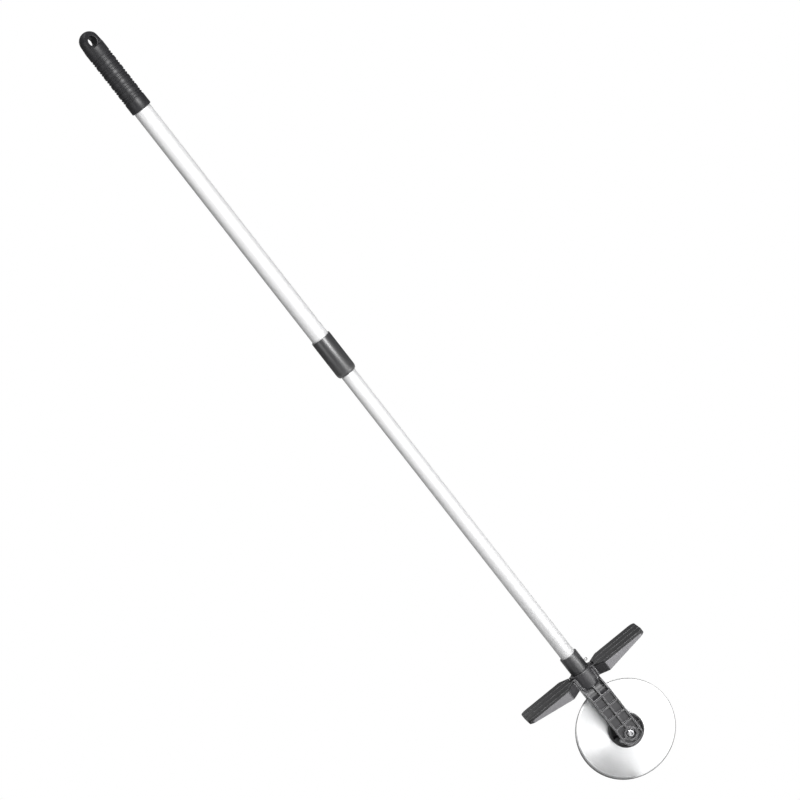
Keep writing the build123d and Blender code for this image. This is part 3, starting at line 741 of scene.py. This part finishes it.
def makeGrip(v):
    radius, bottom, top = reach("grip")
    outline = [(0, tubeTop), (tubeRadius, tubeTop), (tubeRadius, bottom), (radius, bottom)]
    for group in range(v["grooveGroups"]):
        for line in range(v["grooveLines"]):
            middle = bottom + v["grooveStart"] + group * v["groovePeriod"] + line * v["groovePitch"]
            for side in (-1, 1):
                edge = middle + side * v["grooveWidth"] / 2
                lip = [(radius, edge), (radius - v["grooveDepth"], edge)]
                outline += lip[::-side]
    tip = radius - v["tabStep"]
    outline.append((radius, top - v["shoulderDrop"]))
    for turn in range(v["domeSteps"] + 1):
        lean = math.pi / 2 * turn / v["domeSteps"]
        across = tip * math.cos(lean) if turn < v["domeSteps"] else 0
        outline.append((across, top - tip + tip * math.sin(lean)))
    bm = turnShape(outline, v["steps"], v["landRounding"], 2)
    half = v["tabThickness"] / 2
    cutters = [holeCutter(v, half)]
    slabRise = v["holeDrop"] + v["slabSize"] / 2 - v["shoulderDrop"]
    for side in (-1, 1):
        slab = bmesh.new()
        bmesh.ops.create_cube(slab, size=1.0)
        bmesh.ops.scale(slab, vec=(v["slabSize"], v["slabSize"], v["slabThickness"]), verts=slab.verts)
        slabOut = side * (half + v["slabThickness"] / 2)
        bmesh.ops.translate(slab, vec=(0, slabRise, slabOut), verts=slab.verts)
        roundEdges(slab, v["slabRounding"], 4)
        cutters.append(slab)
    place = (
        Matrix.Translation((0, 0, top - v["holeDrop"]))
        @ Matrix.Rotation(math.radians(v["holeTurn"]), 4, "Z")
        @ Matrix.Rotation(math.pi / 2, 4, "X")
    )
    for cutter in cutters:
        bmesh.ops.transform(cutter, matrix=place, verts=cutter.verts)
    makePiece("gripShell", carve(bm, cutters), "grip", finishes["grip_plastic"])


makeGrip(gripShape)
print("grip ready")

# collars: moulded sleeves whose feet turn in to the smaller tube
collarShape = {
    "foot": 0.0055,
    "lipClearance": 0.00008,
    "lipWidth": 0.0008,
    "rounding": 0.0006,
    "footSteps": 6,
    "steps": 96,
}
sleeveShape = dict(collarShape, foot=0.002, lipWidth=0.0003)


def makeCollar(v, name, node, outerTube, innerTube, seat):
    # radii of the tube that it grips and of the one that slides in it, then the gripped tube's lower end
    radius, bottom, top = reach(node)
    inner = innerTube + v["lipClearance"]
    foot = v["foot"]
    reachIn = min(foot, radius - inner - v["lipWidth"])
    outline = [(outerTube, top), (radius, top), (radius, bottom + foot)]
    for turn in range(1, v["footSteps"] + 1):
        lean = math.pi / 2 * turn / v["footSteps"]
        outline.append((radius - reachIn * (1 - math.cos(lean)), bottom + foot * (1 - math.sin(lean))))
    outline += [(inner, bottom), (inner, seat), (outerTube, seat)]
    makePiece(name, turnShape(outline, v["steps"], v["rounding"], 3), node, finishes["collar"])


makeCollar(collarShape, "collarShell", "upper_collar", tubeRadius, middleRadius, tubeBottom)
makeCollar(sleeveShape, "sleeveShell", "lower_collar", middleRadius, lowerRadius, middleBottom)
print("collars ready")

# tubes: drawn walls with ends rolled slightly over
tubeShape = {"roll": 0.0004, "steps": 96}
tubeWalls = {"upper_tube": 0.001, "middle_tube": 0.0009, "lower_tube": 0.0009}


def makeTube(v, name, node, wall):
    radius, bottom, top = reach(node)
    outline = [(radius - wall, bottom), (radius, bottom), (radius, top), (radius - wall, top)]
    makePiece(name, turnShape(outline, v["steps"], v["roll"], 3), node, finishes["tube_silver"])


for node, wall in tubeWalls.items():
    makeTube(tubeShape, node.split("_")[0] + "Pipe", node, wall)
print("tubes ready")

# treads: rubber pads with two long grooves, turned down over the wing tips
treadShape = {"rounding": 0.00045, "flat": 0.02, "sharp": 0.5}


def makeRounded(v, name, node, finish):
    # a flat-sided node with every edge eased
    bm = bmesh.new()
    bm.from_mesh(frame["nodes"][node].data)
    bmesh.ops.remove_doubles(bm, verts=bm.verts, dist=mergeDistance)
    bmesh.ops.dissolve_limit(bm, angle_limit=v["flat"], verts=bm.verts, edges=bm.edges)
    roundEdges(bm, v["rounding"], 3, v["sharp"])
    makePiece(name, bm, node, finish)


for side in ("left", "right"):
    makeRounded(treadShape, side + "Tread", "tread_" + side, finishes["tread_rubber"])
print("treads ready")

# disc and hub
discShape = {"land": 0.0005, "bevel": 0.003, "rounding": 0.00012, "smooth": 0.15, "steps": 256}
hubShape = {"rounding": 0.0004, "flat": 0.02, "sharp": 0.5}
bushRadius = depthOf("hub_bush")[0]


def makeBlade(v):
    radius, _, front = depthOf("blade")
    outline = [(bushRadius, front), (radius - v["bevel"], front), (radius, v["land"] / 2)]
    outline += [(r, -h) for r, h in reversed(outline)]
    bm = turnShape(outline, v["steps"], v["rounding"], 2)
    faceForward(bm, axle)
    makePiece("cuttingDisc", bm, "blade", finishes["disc_steel"], v["smooth"])


makeBlade(discShape)
for node in ("hub_flange_front", "hub_flange_rear"):
    makeRounded(hubShape, "flange" + node.split("_")[2].capitalize(), node, finishes["moulded_black"])
print("wheel ready")

# fasteners on the axle and the barrel
screwShape = {
    "shankRadius": 0.003,
    "headHeight": 0.0033,
    "headSide": 0.0012,
    "flatShare": 0.52,
    "domeSteps": 6,
    "keyWidth": 0.004,
    "keyDepth": 0.002,
    "pointInset": 0.12,
    "pointDrop": 0.2,
    "rounding": 0.0003,
    "steps": 64,
}


def keyCutter(v, top):
    # hexagonal key recess with a drilled point
    bm = bmesh.new()
    corner = v["keyWidth"] / math.sqrt(3)
    depth = 2 * v["keyDepth"]
    bmesh.ops.create_cone(bm, cap_ends=True, segments=6, radius1=corner, radius2=corner, depth=depth)
    floor = min(bm.faces, key=lambda face: face.calc_center_median().z)
    bmesh.ops.inset_region(bm, faces=[floor], thickness=v["keyWidth"] * v["pointInset"])
    bmesh.ops.translate(bm, vec=(0, 0, -v["keyDepth"] * v["pointDrop"]), verts=floor.verts)
    bmesh.ops.translate(bm, vec=(0, 0, top), verts=bm.verts)
    return bm


def makeAxleScrew(v):
    radius, back, front = depthOf("axle_screw")
    seat = front - v["headHeight"]
    side = seat + v["headSide"]
    outline = [(0, back), (v["shankRadius"], back), (v["shankRadius"], seat), (radius, seat), (radius, side)]
    for turn in range(1, v["domeSteps"] + 1):
        lean = math.pi / 2 * turn / v["domeSteps"]
        crown = radius * (v["flatShare"] + (1 - v["flatShare"]) * math.cos(lean))
        outline.append((crown, side + (front - side) * math.sin(lean)))
    outline.append((0, front))
    bm = turnShape(outline, v["steps"], v["rounding"], 2)
    bm = carve(bm, [keyCutter(v, front)])
    faceForward(bm, (axle.x, 0, axle.z))
    makePiece("axleScrew", bm, "axle_screw", finishes["screw"])


nutShape = {"bore": 0.003, "hexHeight": 0.0046, "collarRadius": 0.0043, "rounding": 0.00035, "steps": 48}


def makeAxleNut(v):
    # hexagonal body with a thin locking collar on its outer end
    low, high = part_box("axle_nut")
    corner = (high.x - low.x) / 2
    back, front = -high.y, -low.y
    bm = bmesh.new()
    bmesh.ops.create_cone(bm, cap_ends=True, segments=6, radius1=corner, radius2=corner, depth=v["hexHeight"])
    bmesh.ops.rotate(bm, cent=(0, 0, 0), matrix=Matrix.Rotation(math.pi / 6, 3, "Z"), verts=bm.verts)
    bmesh.ops.translate(bm, vec=(0, 0, front - v["hexHeight"] / 2), verts=bm.verts)
    roundEdges(bm, v["rounding"], 3)
    bore = turnShape([(0, back * 2), (v["bore"], back * 2), (v["bore"], 0), (0, 0)], v["steps"])
    bm = carve(bm, [bore])
    top = front - v["hexHeight"]
    collar = [(v["bore"], back), (v["collarRadius"], back), (v["collarRadius"], top), (v["bore"], top)]
    addShape(bm, turnShape(collar, v["steps"], v["rounding"], 3))
    faceForward(bm, (axle.x, 0, axle.z))
    makePiece("axleNut", bm, "axle_nut", finishes["fastener_steel"])


# rings that share the axle: name, inner radius, rounding of the edges and finish
ringSteps = 64
ringShapes = {
    "washer_front": ("frontWasher", 0.0031, 0.00025, "fastener_steel"),
    "washer_rear": ("rearWasher", 0.0031, 0.00025, "fastener_steel"),
    "axle_sleeve": ("axleSleeve", 0.0031, 0.0002, "fastener_steel"),
    "hub_bush": ("hubBush", 0.00405, 0.0003, "bush_plastic"),
}


def makeAxleRing(node, name, inner, rounding, finish):
    radius, back, front = depthOf(node)
    outline = [(inner, back), (radius, back), (radius, front), (inner, front)]
    bm = turnShape(outline, ringSteps, rounding, 3)
    faceForward(bm, (axle.x, 0, axle.z))
    makePiece(name, bm, node, finishes[finish])


rivetShape = {
    "circle": 0.0145,
    "count": 3,
    "shank": 0.002,
    "head": 0.00325,
    "headHeight": 0.0014,
    "rimShare": 0.3,
    "domeSteps": 4,
    "steps": 32,
}


def makeRivets(v):
    low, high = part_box("flange_rivets")
    half = (high.y - low.y) / 2
    seat = half - v["headHeight"]
    upper = [(v["shank"], 0), (v["shank"], seat), (v["head"], seat)]
    for turn in range(1, v["domeSteps"] + 1):
        lean = math.pi / 2 * turn / v["domeSteps"]
        across = v["head"] * math.cos(lean) if turn < v["domeSteps"] else 0
        rise = v["rimShare"] + (1 - v["rimShare"]) * math.sin(lean)
        upper.append((across, seat + v["headHeight"] * rise))
    outline = [(r, -h) for r, h in reversed(upper)] + upper[1:]
    bm = bmesh.new()
    for number in range(v["count"]):
        angle = math.pi / 2 + 2 * math.pi * number / v["count"]
        rivet = turnShape(outline, v["steps"])
        faceForward(rivet, (v["circle"] * math.cos(angle), 0, axle.z + v["circle"] * math.sin(angle)))
        addShape(bm, rivet)
    makePiece("flangeRivets", bm, "flange_rivets", finishes["fastener_steel"])


tubeScrewShape = {
    "shank": 0.00175,
    "headHeight": 0.0018,
    "flatShare": 0.45,
    "rimShare": 0.15,
    "domeSteps": 5,
    "slotWidth": 0.0007,
    "slotLength": 0.0034,
    "slotDepth": 0.0012,
    "steps": 48,
}


def makeTubeScrew(v):
    # pan head at the barrel's back with a cross recess
    radius, back, front = depthOf("tube_screw")
    seat = back + v["headHeight"]
    outline = [(0, back), (radius * v["flatShare"], back)]
    for turn in range(1, v["domeSteps"] + 1):
        lean = math.pi / 2 * turn / v["domeSteps"]
        across = v["flatShare"] + (1 - v["flatShare"]) * math.sin(lean)
        rise = v["rimShare"] + (1 - v["rimShare"]) * math.cos(lean)
        outline.append((radius * across, seat - (seat - back) * rise))
    outline += [(radius, seat), (v["shank"], seat), (v["shank"], front), (0, front)]
    slots = []
    for size in ((v["slotLength"], v["slotWidth"]), (v["slotWidth"], v["slotLength"])):
        slot = bmesh.new()
        bmesh.ops.create_cube(slot, size=1.0)
        bmesh.ops.scale(slot, vec=(*size, 2 * v["slotDepth"]), verts=slot.verts)
        bmesh.ops.translate(slot, vec=(0, 0, back), verts=slot.verts)
        slots.append(slot)
    bm = carve(turnShape(outline, v["steps"]), slots)
    low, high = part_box("tube_screw")
    faceForward(bm, (0, 0, (low.z + high.z) / 2))
    makePiece("tubeScrew", bm, "tube_screw", finishes["fastener_steel"])


eyeShape = {
    "outer": 0.0043,
    "wire": 0.0011,
    "wireSides": 16,
    "stem": 0.0016,
    "stemSides": 24,
    "steps": 40,
}


def makeEyePin(v):
    # bent wire eye on a short stem through the sleeve's side
    low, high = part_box("eye_pin")
    middle = (low + high) / 2
    ring = (v["outer"] - v["wire"]) / 2
    bm = bmesh.new()
    bmesh.ops.create_circle(bm, cap_ends=False, radius=v["wire"] / 2, segments=v["wireSides"])
    bmesh.ops.translate(bm, vec=(ring, 0, 0), verts=bm.verts)
    bmesh.ops.spin(
        bm, geom=bm.verts[:] + bm.edges[:], cent=(0, 0, 0), axis=(0, 1, 0), dvec=(0, 0, 0),
        angle=2 * math.pi, steps=v["steps"], use_merge=True, use_duplicate=False,
    )
    bmesh.ops.translate(bm, vec=(high.x - v["outer"] / 2, middle.y, middle.z), verts=bm.verts)
    end = high.x - v["outer"] / 2 - ring
    stem = bmesh.new()
    half = v["stem"] / 2
    bmesh.ops.create_cone(
        stem, cap_ends=True, segments=v["stemSides"], radius1=half, radius2=half, depth=end - low.x
    )
    bmesh.ops.rotate(stem, cent=(0, 0, 0), matrix=Matrix.Rotation(math.pi / 2, 3, "Y"), verts=stem.verts)
    bmesh.ops.translate(stem, vec=((end + low.x) / 2, middle.y, middle.z), verts=stem.verts)
    addShape(bm, stem)
    bmesh.ops.recalc_face_normals(bm, faces=bm.faces)
    makePiece("wireEye", bm, "eye_pin", finishes["wire"])


makeAxleScrew(screwShape)
makeAxleNut(nutShape)
for node, shape in ringShapes.items():
    makeAxleRing(node, *shape)
makeRivets(rivetShape)
makeTubeScrew(tubeScrewShape)
makeEyePin(eyeShape)
print("fasteners ready")
